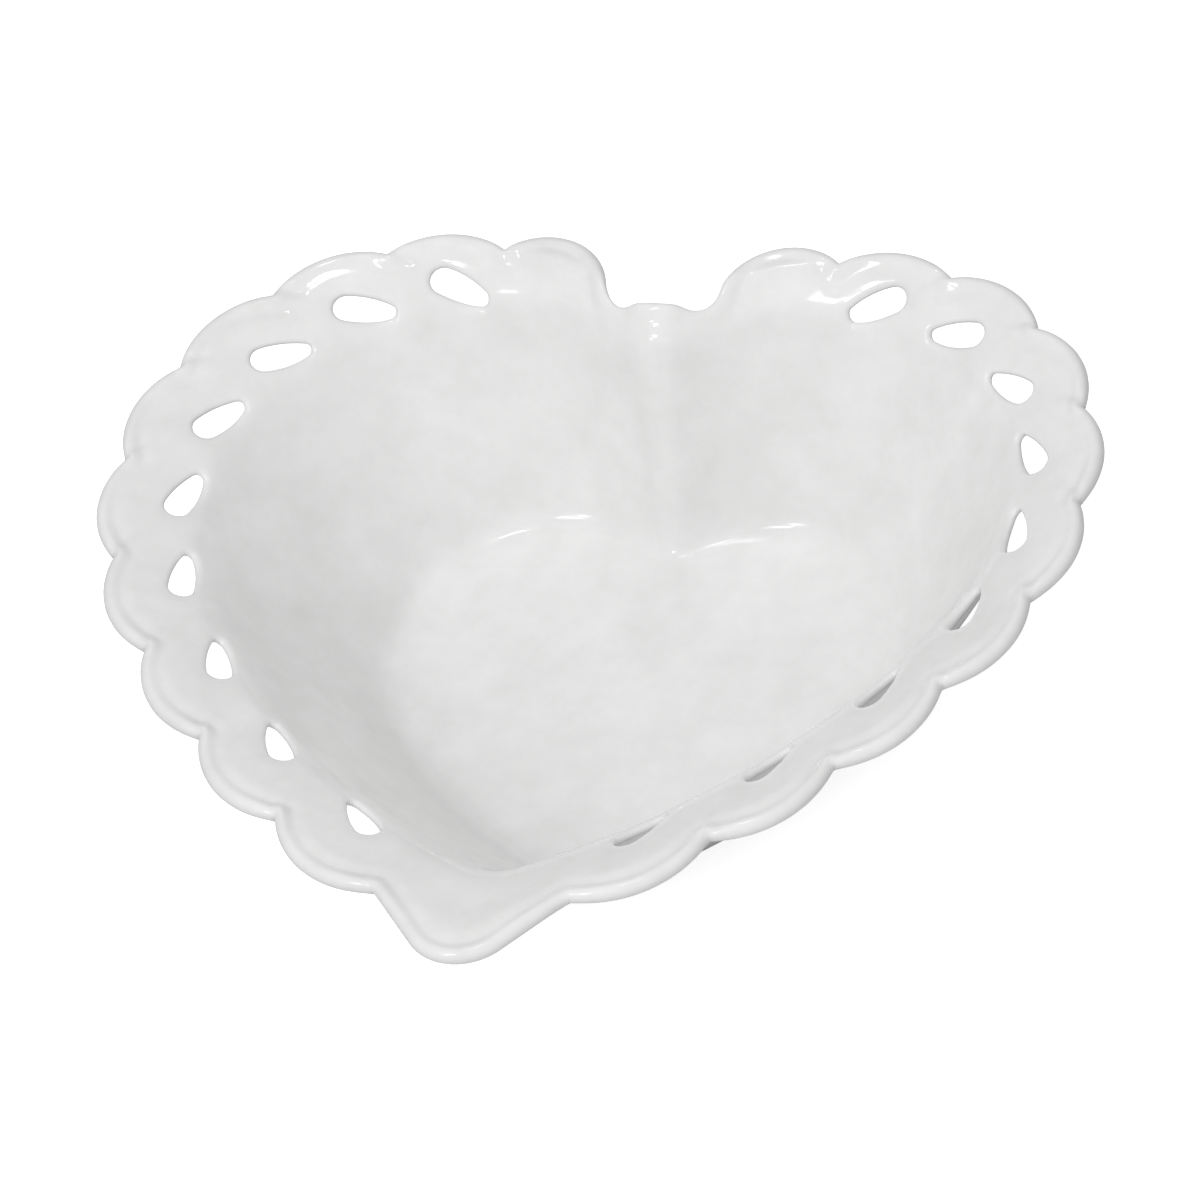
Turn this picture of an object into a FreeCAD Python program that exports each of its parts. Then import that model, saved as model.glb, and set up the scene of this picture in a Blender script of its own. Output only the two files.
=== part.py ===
import FreeCAD
import Part
import math
import os

from FreeCAD import Placement, Rotation, Vector

# One-piece fired ceramic dish: a heart-shaped bowl with a flared border that is
# scalloped along its edge and pierced by a teardrop hole in each scallop.
#
# Plan: every horizontal section is the same heart, the "rim line", scaled about the
# heart's centre and moved a little towards the cleft as it goes down. The rim line
# passes through the cusps between the scallops. An inset is a distance inwards from it,
# measured across the widest place of the dish. Heights are depths below the rim until
# the model is placed on its foot.

# Alias, value (mm unless noted), what it is.
SIZES = (
    ("lobe_radius", 56.4, "rim line: radius of a lobe"),
    ("lobe_side", 39.6, "rim line: lobe centre, sideways from the middle"),
    ("lobe_forward", 15.3, "rim line: lobe centre, towards the cleft from the heart's centre"),
    ("flank_radius", 71.0, "rim line: radius of the flank below the lobe"),
    ("flank_start", 9.0, "rim line: direction, in degrees, where lobe becomes flank"),
    ("side_radius", 187.0, "rim line: radius of the long side that runs to the tip"),
    ("side_start", -30.0, "rim line: direction, in degrees, where flank becomes side"),
    ("tip_radius", 14.0, "rim line: radius of the tip"),
    ("cleft_radius", 8.6, "rim line: radius between the lobes"),
    ("plain_lobe_length", 36.8, "rim line from the cleft to the first cusp"),
    ("plain_tip_length", 21.7, "rim line from the last cusp to the tip"),
    ("scallop_count", 9, "pierced scallops on each half"),
    ("scallop_growth", 0.24, "how much wider the last scallop is than the first, as a share"),
    ("scallop_bulge", 0.18, "height of a scallop's arc, as a share of its chord"),
    ("cleft_reach", 58.1, "edge: cleft, from the heart's centre"),
    ("cleft_corner_radius", 6.5, "edge: rounded inner corner of the cleft"),
    ("plain_lobe_radius", 13.6, "edge: the plain scallop beside the cleft"),
    ("plain_lobe_side", 24.9, "edge: that scallop's centre, sideways from the middle"),
    ("tip_reach", 106.8, "edge: tip, from the heart's centre"),
    ("tip_edge_radius", 12.0, "edge: radius of the tip"),
    ("wall_thickness", 3.5, "fired thickness, the same all over"),
    ("rim_slope", 19.5, "border: its fall towards the bowl, in degrees"),
    ("border_width", 15.0, "border: inset where it would meet the wall without the bend"),
    ("bend_radius", 10.0, "bend between border and wall"),
    ("border_depth", 14.0, "level, below the rim, where border and bowl are divided"),
    ("bowl_forward", 3.0, "bowl's centre, towards the cleft from the rim's"),
    ("dish_depth", 45.0, "floor, below the rim"),
    ("wall_angle", 53.0, "steepness of the wall, in degrees"),
    ("cove_radius", 9.0, "round between wall and floor"),
    ("hole_inset", 12.7, "border: inset of the line of holes"),
    ("hole_shift", 7.4, "hole centre, from the middle of its scallop towards the cleft, at most"),
    ("hole_spread", 4.4, "how much less that shift is at the first hole of the row"),
    ("hole_round_radius", 2.6, "teardrop: radius of its round end"),
    ("hole_point_radius", 1.2, "teardrop: radius of its pointed end"),
    ("hole_side_radius", 18.0, "teardrop: radius of its two long sides"),
    ("hole_span", 8.2, "teardrop: distance between the centres of its two ends"),
    ("hole_twist", 20.0, "teardrop: turn of its long axis from the edge, in degrees"),
    ("foot_height", 3.0, "foot ring below the underside"),
    ("foot_width", 5.0, "foot ring: width of the resting face"),
    ("foot_setback", 1.5, "foot ring: inwards from the edge of the flat underside"),
)

BEND_STEPS = 3        # straight bands that stand for the bend below the border
COVE_STEPS = 4        # straight bands that stand for the cove
OVERRUN = 6.0         # how far a cutting solid passes the faces it cuts
BUILD = "parts"


def make_sheet(doc):
    """Put the driving dimensions in a spreadsheet, one alias each."""
    sheet = doc.addObject("Spreadsheet::Sheet", "sizes")
    for row, (alias, value, meaning) in enumerate(SIZES, start=1):
        sheet.set("A%d" % row, meaning)
        sheet.set("B%d" % row, str(value))
        sheet.setAlias("B%d" % row, alias)
    doc.recompute()
    return sheet


def polar(radius, degrees):
    """Vector in the plan at this radius and direction."""
    angle = math.radians(degrees)
    return Vector(radius * math.cos(angle), radius * math.sin(angle), 0)


def direction(vector):
    """Direction of a plan vector, in degrees."""
    return math.degrees(math.atan2(vector.y, vector.x))


def rim_arcs(sheet):
    """Right half of the rim line from cleft to tip: (centre, radius, start, end)."""
    lobe = Vector(sheet.lobe_side, sheet.lobe_forward, 0)
    gap = sheet.lobe_radius + sheet.cleft_radius
    cleft = Vector(0, lobe.y + math.sqrt(gap ** 2 - lobe.x ** 2), 0)
    lobe_start = direction(cleft - lobe)
    flank = lobe + polar(sheet.lobe_radius - sheet.flank_radius, sheet.flank_start)
    side = flank + polar(sheet.flank_radius - sheet.side_radius, sheet.side_start)
    inside = sheet.side_radius - sheet.tip_radius
    tip = Vector(0, side.y - math.sqrt(inside ** 2 - side.x ** 2), 0)
    side_end = direction(tip - side)
    return (
        (cleft, sheet.cleft_radius, -90.0, lobe_start - 180.0),
        (lobe, sheet.lobe_radius, lobe_start, sheet.flank_start),
        (flank, sheet.flank_radius, sheet.flank_start, sheet.side_start),
        (side, sheet.side_radius, sheet.side_start, side_end),
        (tip, sheet.tip_radius, side_end, -90.0),
    )


def arc_length(arc):
    return arc[1] * abs(math.radians(arc[3] - arc[2]))


def rim_place(arcs, distance):
    """Point of the rim line at this distance from the cleft, and the line's heading there."""
    for arc in arcs:
        length = arc_length(arc)
        if distance <= length or arc is arcs[-1]:
            break
        distance -= length
    centre, radius, start, end = arc
    turn = start + (end - start) * distance / length
    heading = turn + math.copysign(90, end - start)
    return centre + polar(radius, turn), heading


def half_width(sheet):
    """Widest reach of the rim line from the middle."""
    return sheet.lobe_side + sheet.lobe_radius


def inset_scale(sheet, inset):
    """Scale of the heart whose side lies this far inside the rim line."""
    return 1.0 - inset / half_width(sheet)


def closed_wire(right_edges):
    """Close the right half's edges, given from cleft to tip, with their mirror image."""
    left_edges = [edge.mirror(Vector(0, 0, 0), Vector(1, 0, 0)) for edge in right_edges]
    return Part.Wire(Part.__sortEdges__(right_edges + left_edges))


def place_inside(sheet, point, inset, depth):
    """Where a point of the rim line lies on the heart at this inset and depth."""
    forward = sheet.bowl_forward * min(max(inset / sheet.border_width, 0), 1)
    return point * inset_scale(sheet, inset) + Vector(0, forward, -depth)


def heart_wire(sheet, inset, depth):
    """Closed heart at this inset and depth."""
    edges = []
    for centre, radius, start, end in rim_arcs(sheet):
        marks = [centre + polar(radius, turn) for turn in (start, (start + end) / 2, end)]
        edges.append(Part.Arc(*[place_inside(sheet, mark, inset, depth) for mark in marks]).toShape())
    return closed_wire(edges)


def cusp_distances(sheet, arcs):
    """Distances along the rim line of the cusps on one half, cleft to tip."""
    count = int(sheet.scallop_count)
    weights = [1 + sheet.scallop_growth * (number / (count - 1)) ** 2 for number in range(count)]
    whole = sum(arc_length(arc) for arc in arcs)
    pierced = whole - sheet.plain_lobe_length - sheet.plain_tip_length
    distances = [sheet.plain_lobe_length]
    for weight in weights:
        distances.append(distances[-1] + pierced * weight / sum(weights))
    return distances


def plain_lobe_edges(sheet, cusp):
    """Edge from the middle of the cleft, round its corner and over the plain scallop."""
    across = cusp.x - sheet.plain_lobe_side
    below = math.sqrt(sheet.plain_lobe_radius ** 2 - across ** 2)
    lobe = Vector(sheet.plain_lobe_side, cusp.y - below, 0)
    corner_y = sheet.cleft_reach + sheet.cleft_corner_radius
    gap = sheet.plain_lobe_radius + sheet.cleft_corner_radius
    corner = Vector(lobe.x - math.sqrt(gap ** 2 - (lobe.y - corner_y) ** 2), corner_y, 0)
    turn = direction(corner - lobe) % 360
    start = corner + polar(sheet.cleft_corner_radius, -90)
    bend = corner + polar(sheet.cleft_corner_radius, (turn - 180 - 90) / 2)
    meet = lobe + polar(sheet.plain_lobe_radius, turn)
    top = lobe + polar(sheet.plain_lobe_radius, (turn + direction(cusp - lobe)) / 2)
    return [
        Part.LineSegment(Vector(0, sheet.cleft_reach, 0), start).toShape(),
        Part.Arc(start, bend, meet).toShape(),
        Part.Arc(meet, top, cusp).toShape(),
    ]


def scallop_edge(sheet, first, last):
    """One scallop: an arc that bulges outwards from its chord."""
    chord = last - first
    outward = Vector(-chord.y, chord.x, 0)
    crown = (first + last) / 2 + outward * sheet.scallop_bulge
    return Part.Arc(first, crown, last).toShape()


def tip_edges(sheet, cusp):
    """Straight side from the last cusp, then the round of the tip."""
    centre = Vector(0, sheet.tip_edge_radius - sheet.tip_reach, 0)
    away = cusp - centre
    turn = direction(away) - math.degrees(math.acos(sheet.tip_edge_radius / away.Length))
    meet = centre + polar(sheet.tip_edge_radius, turn)
    bend = centre + polar(sheet.tip_edge_radius, (turn - 90) / 2)
    end = centre + polar(sheet.tip_edge_radius, -90)
    return [Part.LineSegment(cusp, meet).toShape(), Part.Arc(meet, bend, end).toShape()]


def edge_wire(sheet):
    """The scalloped outer edge."""
    arcs = rim_arcs(sheet)
    cusps = [rim_place(arcs, distance)[0] for distance in cusp_distances(sheet, arcs)]
    edges = plain_lobe_edges(sheet, cusps[0])
    edges += [scallop_edge(sheet, first, last) for first, last in zip(cusps, cusps[1:])]
    edges += tip_edges(sheet, cusps[-1])
    return closed_wire(edges)


def bend_ends(sheet):
    """(inset, depth) where the bend between border and wall starts, and where it ends."""
    rim = math.radians(sheet.rim_slope)
    wall = math.radians(sheet.wall_angle)
    reach = sheet.bend_radius * math.tan((wall - rim) / 2)
    crease = sheet.border_width * math.tan(rim)
    start = (sheet.border_width - reach * math.cos(rim), crease - reach * math.sin(rim))
    end = (sheet.border_width + reach * math.cos(wall), crease + reach * math.sin(wall))
    return start, end


def face_fall(sheet, inset):
    """Depth of the upper face at this inset above the cove, and its slope in degrees."""
    start, end = bend_ends(sheet)
    if inset <= start[0]:
        return inset * math.tan(math.radians(sheet.rim_slope)), sheet.rim_slope
    if inset >= end[0]:
        fall = (inset - end[0]) * math.tan(math.radians(sheet.wall_angle))
        return end[1] + fall, sheet.wall_angle
    rim = math.radians(sheet.rim_slope)
    turn = math.asin(math.sin(rim) + (inset - start[0]) / sheet.bend_radius)
    return start[1] + sheet.bend_radius * (math.cos(rim) - math.cos(turn)), math.degrees(turn)


def upper_profile(sheet):
    """(inset, depth) down the dish's upper face, from the rim line to the floor."""
    wall = math.radians(sheet.wall_angle)
    start, end = bend_ends(sheet)
    foot_of_wall = end[0] + (sheet.dish_depth - end[1]) / math.tan(wall)
    cove_end = foot_of_wall + sheet.cove_radius * math.tan(wall / 2)
    cove_top = sheet.dish_depth - sheet.cove_radius
    points = [(0.0, 0.0)]
    for step in range(BEND_STEPS + 1):
        inset = start[0] + (end[0] - start[0]) * step / BEND_STEPS
        points.append((inset, face_fall(sheet, inset)[0]))
    for step in range(COVE_STEPS + 1):
        turn = wall * (1 - step / COVE_STEPS)
        inset = cove_end - sheet.cove_radius * math.sin(turn)
        points.append((inset, cove_top + sheet.cove_radius * math.cos(turn)))
    return points


def lower_profile(sheet):
    """The upper face's profile moved down by the wall's thickness, square to each band."""
    upper = upper_profile(sheet)
    turns = [math.atan2(b[1] - a[1], b[0] - a[0]) for a, b in zip(upper, upper[1:])]
    turns = [0.0] + turns + [0.0]
    lower = []
    for (inset, depth), before, after in zip(upper, turns, turns[1:]):
        middle = (before + after) / 2
        reach = sheet.wall_thickness / math.cos((after - before) / 2)
        lower.append((inset - reach * math.sin(middle), depth + reach * math.cos(middle)))
    return lower


def add_shape(doc, name, shape):
    """A document object that holds a shape drawn from the sheet."""
    item = doc.addObject("Part::Feature", name)
    item.Shape = shape
    return item


def add_loft(doc, sheet, name, profile):
    """Solid of hearts that follow a profile from top to bottom."""
    loft = doc.addObject("Part::Loft", name)
    loft.Sections = [
        add_shape(doc, "%s_section_%d" % (name, number), heart_wire(sheet, inset, depth))
        for number, (inset, depth) in enumerate(profile, start=1)
    ]
    loft.Solid = True
    loft.Ruled = True
    return loft


def add_prism(doc, name, wire, up="0 mm", down="0 mm"):
    """Upright solid of an outline, its reach up and down bound to the sheet."""
    prism = doc.addObject("Part::Extrusion", name)
    prism.Base = add_shape(doc, name + "_outline", Part.Face(wire))
    prism.DirMode = "Custom"
    prism.Dir = Vector(0, 0, 1)
    prism.Solid = True
    prism.setExpression("LengthFwd", up)
    prism.setExpression("LengthRev", down)
    return prism


def add_boolean(doc, kind, name, base, tool):
    """Part::Cut or Part::Common of two objects."""
    result = doc.addObject("Part::" + kind, name)
    result.Base = base
    result.Tool = tool
    return result


def add_shell(doc, sheet):
    """The whole dish without its foot: even wall, scalloped edge, no holes yet."""
    beyond = sheet.tip_reach / 2
    upper = upper_profile(sheet)
    lower = lower_profile(sheet)
    space_top = [(-beyond, -OVERRUN), (-beyond, 0.0)]
    body_top = [(OVERRUN - beyond, -OVERRUN / 2), (OVERRUN - beyond, sheet.wall_thickness)]
    space = add_loft(doc, sheet, "dish_space", space_top + upper)
    body = add_loft(doc, sheet, "dish_body", body_top + lower)
    wall = add_boolean(doc, "Cut", "even_wall", body, space)
    reach = "sizes.dish_depth + 2 * sizes.wall_thickness"
    edge = add_prism(doc, "scalloped_edge", edge_wire(sheet), up=reach, down=reach)
    return add_boolean(doc, "Common", "dish_shell", wall, edge)


def add_zone(doc, sheet, name, top, depth):
    """Wide flat block between two levels, given as expressions of the sheet."""
    side = 4 * sheet.tip_reach
    zone = doc.addObject("Part::Box", name)
    zone.Length = side
    zone.Width = side
    zone.setExpression("Height", depth)
    zone.Placement = Placement(Vector(-side / 2, -side / 2, 0), Rotation())
    zone.setExpression("Placement.Base.z", "%s - (%s)" % (top, depth))
    return zone


def teardrop_face(sheet):
    """One hole's outline: round end towards +X, pointed end towards -X, bowed sides."""
    shift = (sheet.hole_point_radius - sheet.hole_round_radius) / 2
    wide = Vector(shift + sheet.hole_span / 2, 0, 0)
    narrow = Vector(shift - sheet.hole_span / 2, 0, 0)
    to_wide = sheet.hole_side_radius - sheet.hole_round_radius
    to_narrow = sheet.hole_side_radius - sheet.hole_point_radius
    along = (to_narrow ** 2 - to_wide ** 2 + sheet.hole_span ** 2) / (2 * sheet.hole_span)
    side = narrow + Vector(along, -math.sqrt(to_narrow ** 2 - along ** 2), 0)
    wide_lean = direction(wide - side)
    narrow_lean = direction(narrow - side)
    wide_end = [wide + polar(sheet.hole_round_radius, turn) for turn in (-wide_lean, 0, wide_lean)]
    narrow_end = [
        narrow + polar(sheet.hole_point_radius, turn) for turn in (narrow_lean, 180, -narrow_lean)
    ]
    bow = side + polar(sheet.hole_side_radius, (wide_lean + narrow_lean) / 2)
    edges = [
        Part.Arc(*wide_end).toShape(),
        Part.Arc(wide_end[2], bow, narrow_end[0]).toShape(),
        Part.Arc(*narrow_end).toShape(),
        Part.Arc(narrow_end[2], Vector(bow.x, -bow.y, 0), wide_end[0]).toShape(),
    ]
    return Part.Face(Part.Wire(edges))


def hole_distances(sheet, arcs):
    """Distances along the rim line of the holes' centres on one half."""
    cusps = cusp_distances(sheet, arcs)
    distances = []
    for number, (first, last) in enumerate(zip(cusps, cusps[1:])):
        share = 2 * number / sheet.scallop_count - 1
        shift = sheet.hole_shift - sheet.hole_spread * share ** 2
        distances.append((first + last) / 2 - shift)
    return distances


def hole_placements(sheet):
    """Where the holes of the right half lie: square to the border, turned by the twist."""
    arcs = rim_arcs(sheet)
    depth, slope = face_fall(sheet, sheet.hole_inset)
    tilt = Rotation(Vector(1, 0, 0), slope)
    twist = Rotation(Vector(0, 0, 1), sheet.hole_twist)
    places = []
    for distance in hole_distances(sheet, arcs):
        point, heading = rim_place(arcs, distance)
        outward = polar(1, heading + 90)
        inside = place_inside(sheet, point, sheet.hole_inset, depth)
        centre = point + outward * outward.dot(inside - point) - Vector(0, 0, depth)
        along = Rotation(Vector(0, 0, 1), heading)
        places.append(Placement(centre, along * tilt * twist))
    return places


def add_hole_cutters(doc, sheet):
    """Every hole of the border as a prism: one half's row and its mirror image."""
    row = []
    for number, place in enumerate(hole_placements(sheet), start=1):
        outline = add_shape(doc, "hole_%d_outline" % number, teardrop_face(sheet))
        outline.Placement = place
        hole = doc.addObject("Part::Extrusion", "hole_%d" % number)
        hole.Base = outline
        hole.DirMode = "Normal"
        hole.Solid = True
        hole.setExpression("LengthFwd", "2 * sizes.wall_thickness")
        hole.setExpression("LengthRev", "3 * sizes.wall_thickness")
        row.append(hole)
    right = doc.addObject("Part::Compound", "right_holes")
    right.Links = row
    left = doc.addObject("Part::Mirroring", "left_holes")
    left.Source = right
    left.Normal = Vector(1, 0, 0)
    both = doc.addObject("Part::Compound", "hole_cutters")
    both.Links = [right, left]
    return both


def add_pierced_border(doc, sheet, shell):
    """Flared border and its bend, cut through by the teardrop holes."""
    zone = add_zone(doc, sheet, "border_zone", "sizes.wall_thickness",
                    "sizes.border_depth + sizes.wall_thickness")
    blank = add_boolean(doc, "Common", "border_blank", shell, zone)
    return add_boolean(doc, "Cut", "pierced_border", blank, add_hole_cutters(doc, sheet))


def add_bowl(doc, sheet, shell):
    """Bowl below the border: the wall with its cove, and the flat floor inside it."""
    depth = "sizes.dish_depth + 2 * sizes.wall_thickness - sizes.border_depth"
    zone = add_zone(doc, sheet, "bowl_zone", "-sizes.border_depth", depth)
    bowl = add_boolean(doc, "Common", "bowl", shell, zone)
    floor_inset, floor_depth = upper_profile(sheet)[-1]
    core = add_prism(doc, "floor_core", heart_wire(sheet, floor_inset, floor_depth),
                     up="sizes.wall_thickness", down="2 * sizes.wall_thickness")
    wall = add_boolean(doc, "Cut", "bowl_wall", bowl, core)
    floor = add_boolean(doc, "Common", "bowl_floor", bowl, core)
    return wall, floor


def add_foot_ring(doc, sheet):
    """Low heart-shaped ring that the dish stands on."""
    inset = upper_profile(sheet)[-1][0] + sheet.foot_setback
    underside = sheet.dish_depth + sheet.wall_thickness
    outer = add_prism(doc, "foot_outer", heart_wire(sheet, inset, underside), down="sizes.foot_height")
    inner = add_prism(doc, "foot_inner", heart_wire(sheet, inset + sheet.foot_width, underside),
                      up="sizes.wall_thickness", down="2 * sizes.foot_height")
    return add_boolean(doc, "Cut", "foot_ring", outer, inner)


def standing_place(sheet):
    """Placement that puts the foot on the ground and the dish's middle over the origin."""
    box = edge_wire(sheet).BoundBox
    height = sheet.dish_depth + sheet.wall_thickness + sheet.foot_height
    return Placement(Vector(0, -(box.YMin + box.YMax) / 2, height), Rotation())


def check(doc, pieces):
    """Stop if anything in the document failed, or a piece isn't one sound solid."""
    for item in doc.Objects:
        if "Invalid" in item.State or "Error" in item.State:
            raise RuntimeError("%s failed: %s" % (item.Label, item.State))
    for piece in pieces:
        if piece.Shape.isNull() or not piece.Shape.isValid() or len(piece.Shape.Solids) != 1:
            raise RuntimeError("%s isn't one valid solid" % piece.Label)


def main():
    doc = FreeCAD.newDocument("heart_dish")
    sheet = make_sheet(doc)
    shell = add_shell(doc, sheet)
    wall, floor = add_bowl(doc, sheet, shell)
    pieces = [add_pierced_border(doc, sheet, shell), wall, floor, add_foot_ring(doc, sheet)]
    place = standing_place(sheet)
    for piece in pieces:
        piece.Placement = place
    doc.recompute()
    check(doc, pieces)
    os.makedirs(BUILD, exist_ok=True)
    for piece in pieces:
        piece.Shape.exportStep(os.path.join(BUILD, piece.Label + ".step"))
        box = piece.Shape.BoundBox
        print("%-15s %9.0f mm3  x %6.1f..%6.1f  y %6.1f..%6.1f  z %5.1f..%5.1f" % (
            piece.Label, piece.Shape.Volume, box.XMin, box.XMax, box.YMin, box.YMax, box.ZMin, box.ZMax))


main()
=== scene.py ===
import math

import bmesh
import bpy
import numpy as np
from mathutils import Matrix, Vector


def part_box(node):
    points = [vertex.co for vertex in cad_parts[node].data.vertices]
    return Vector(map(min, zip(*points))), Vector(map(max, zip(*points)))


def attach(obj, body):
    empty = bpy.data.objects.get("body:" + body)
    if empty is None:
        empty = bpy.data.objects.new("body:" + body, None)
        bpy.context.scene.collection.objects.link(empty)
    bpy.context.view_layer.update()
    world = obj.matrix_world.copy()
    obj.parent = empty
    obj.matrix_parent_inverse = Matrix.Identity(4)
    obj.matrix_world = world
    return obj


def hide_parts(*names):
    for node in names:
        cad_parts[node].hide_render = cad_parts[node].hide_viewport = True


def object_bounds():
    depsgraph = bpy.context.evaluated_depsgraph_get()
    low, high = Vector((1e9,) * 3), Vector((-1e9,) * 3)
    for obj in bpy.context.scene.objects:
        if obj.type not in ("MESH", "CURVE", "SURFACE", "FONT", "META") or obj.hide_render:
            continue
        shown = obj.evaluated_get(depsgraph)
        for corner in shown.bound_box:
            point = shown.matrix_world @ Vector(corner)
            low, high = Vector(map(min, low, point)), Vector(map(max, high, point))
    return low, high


# A one-piece glazed dish. Its skin is one closed mesh, drawn from the same plan as the
# CAD solids: hearts that are scaled copies of the rim line, a scalloped edge, and a
# teardrop hole in each scallop. It departs from the solids in four small ways: the wall
# is thinner round the holes, the cleft's edge lies further out, the cove is tighter and
# the section's corners are soft. The border also has relief, which the solids leave out.
# Lengths are in millimetres until a mesh is made.

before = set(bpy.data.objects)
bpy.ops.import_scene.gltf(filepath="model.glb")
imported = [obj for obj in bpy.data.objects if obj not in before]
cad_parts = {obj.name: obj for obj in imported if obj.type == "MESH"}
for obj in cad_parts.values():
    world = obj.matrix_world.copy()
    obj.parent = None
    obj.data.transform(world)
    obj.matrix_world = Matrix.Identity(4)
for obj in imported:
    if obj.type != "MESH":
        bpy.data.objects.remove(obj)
cad_low, cad_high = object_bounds()

MM = 0.001
RIM_HEIGHT = cad_high.z / MM
FOOT_LOW, FOOT_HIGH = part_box("foot_ring")
FOOT_HEIGHT = (FOOT_HIGH.z - FOOT_LOW.z) / MM

# Rim line: arcs from the cleft round the lobe and flank, down the side to the tip.
LOBE_RADIUS = 56.4
LOBE_CENTRE = (39.6, 15.3)
FLANK_RADIUS, FLANK_START = 71.0, 9.0
SIDE_RADIUS, SIDE_START = 187.0, -30.0
RIM_TIP_RADIUS = 14.0
RIM_CLEFT_RADIUS = 8.6
HALF_WIDTH = LOBE_CENTRE[0] + LOBE_RADIUS

# Scalloped edge.
PLAIN_LOBE_LENGTH = 36.8
PLAIN_TIP_LENGTH = 21.7
SCALLOPS = 9
SCALLOP_GROWTH = 0.24
SCALLOP_BULGE = 0.18
CLEFT_REACH = 59.3          # 1.2 beyond the solids' edge
CLEFT_CORNER_RADIUS = 6.5
PLAIN_LOBE_RADIUS, PLAIN_LOBE_SIDE = 13.6, 24.9
TIP_REACH = 106.8
TIP_EDGE_RADIUS = 12.0
SHIFT_Y = cad_low.y / MM + TIP_REACH    # the plan's heart centre, in the frame

# Section of the dish.
WALL = 3.5
RIM_SLOPE = 19.5
BORDER_WIDTH = 15.0
BEND_RADIUS = 10.0
BOWL_FORWARD, FORWARD_REACH = 3.0, 20.0
DISH_DEPTH = 45.0
WALL_ANGLE = 53.0
COVE_RADIUS = 5.5           # 9 in the solids
PROFILE_SOFTNESS = 1.3      # spread of the glaze over the section's corners
SOFTNESS_REACH = 4          # spreads that the softening looks at on each side
TABLE_STEP = 0.05
TABLE_OUTSIDE, TABLE_BEYOND = 40.0, 10.0    # insets covered outside the rim, past the middle

# Holes.
HOLE_INSET = 12.7
HOLE_SHIFT, HOLE_SPREAD = 7.4, 4.4
HOLE_ROUND_RADIUS, HOLE_POINT_RADIUS, HOLE_SIDE_RADIUS = 2.6, 1.2, 18.0
HOLE_SPAN = 8.2
HOLE_TWIST = 20.0
HOLE_TOP_ROUND, HOLE_LOW_ROUND = 1.05, 0.9
HOLE_THINNING, HOLE_THIN_REACH = 1.5, 4.5       # sponged away from below round a hole

# Foot ring.
FOOT_WIDTH = 5.0
FOOT_ROUND = 0.8
FOOT_BED = 0.2              # how far the ring runs up into the dish

# Relief of the border.
ROLL_RADIUS = WALL / 2
EDGE_TOUCH = 0.01           # a point this near the edge lies on it
GROOVE_PLACE, GROOVE_DEPTH = 3.6, 0.38
FACE_PLACE, FACE_DEPTH = 6.0, 0.08      # the scallop's face inside the groove
DIMPLE_DEPTH, DIMPLE_WIDTH = 0.3, 2.0
OVERLAP_HEIGHT, OVERLAP_WIDTH = 0.48, 1.4
OVERLAP_GROOVE, OVERLAP_GROOVE_WIDTH = 0.42, 0.8
OVERLAP_GROOVE_PLACE = 0.6              # outside the scallop's arc
OVERLAP_RISE = (-2.0, 0.5)              # lengths past the cusp where it starts and is full
OVERLAP_FALL = (1.0, 9.0)               # and where it starts to fade and is gone
LEAN_REACH = 4 * WALL       # this far in, the lower face lies square below the upper one

# Mesh density: columns round half the dish and rows down it.
SCALLOP_COLUMNS = 26
LOBE_COLUMNS = 44
LOBE_SHARES = (0, 0.34, 0.67, 1)        # of the first cusp's goal, where cleft parts end
TIP_COLUMNS = 24
ROLL_TURNS = 7
LIP_ROWS = 13
LIP_WIDTH = 4.2
PATCH_INSET = 24.0          # where the patches round the holes meet the bowl's rows
BAND_ROWS = 22
RING_COUNT = 16
RING_GROWTH = 1.3           # the rings lie closer together near the hole
HOLE_TOP_TURNS, HOLE_LOW_TURNS = 7, 5
BOWL_STEP = 1.2
FLOOR_MARGIN = 2.0          # how far the bowl's rows run on past the cove
FLOOR_ROWS = 16
FLOOR_SPINE = (0.25, 0.8)   # shares of the way from the floor's cleft to its tip
FOOT_TURNS, FOOT_COLUMNS = 7, 180
MERGE_DISTANCE = 0.002 * MM

# Fineness of the searches along the rim, the edge and the columns.
RIM_SAMPLE_COUNT = 4001
PART_SAMPLES = 200
INSET_ROUNDS = 6
NORMAL_STEP = 0.15
COLUMN_LEANS, COLUMN_TRIES, COLUMN_SAMPLES = (-6.0, 24.0), 61, 60    # between two holes
LIP_SEARCH, LIP_SAMPLES = 0.85, 120     # share of a column that is searched for the lip

# Glaze and bare clay. Noise is given as waves to the metre, detail and roughness.
GLAZE_THIN = (0.79, 0.79, 0.786)
GLAZE_FULL = (0.865, 0.865, 0.863)
GLAZE_MOTTLING = (90, 6, 0.65)
GLAZE_ROUGHNESS, GLAZE_WEAR_NOISE = (0.09, 0.14), (160, 3)
GLAZE_RIPPLE, GLAZE_RIPPLE_NOISE = 0.07 * MM, (75, 1)
GLAZE_PITTING, GLAZE_PITTING_NOISE = 0.002 * MM, (700, 2)
GLAZE_IOR = 1.52
CLAY_LIGHT = (0.66, 0.63, 0.57)
CLAY_DARK = (0.54, 0.51, 0.45)
CLAY_GRAIN, CLAY_GRAIN_NOISE = 0.02 * MM, (1500, 4)
CLAY_ROUGHNESS, FOOT_GLAZE_ROUGHNESS = 0.85, 0.15
GLAZE_LINE = (1.2 * MM, 1.35 * MM)      # heights between which the foot's glaze begins
GLAZE_LINE_WAVE, GLAZE_LINE_NOISE = 0.6 * MM, (250, 2)

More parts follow.
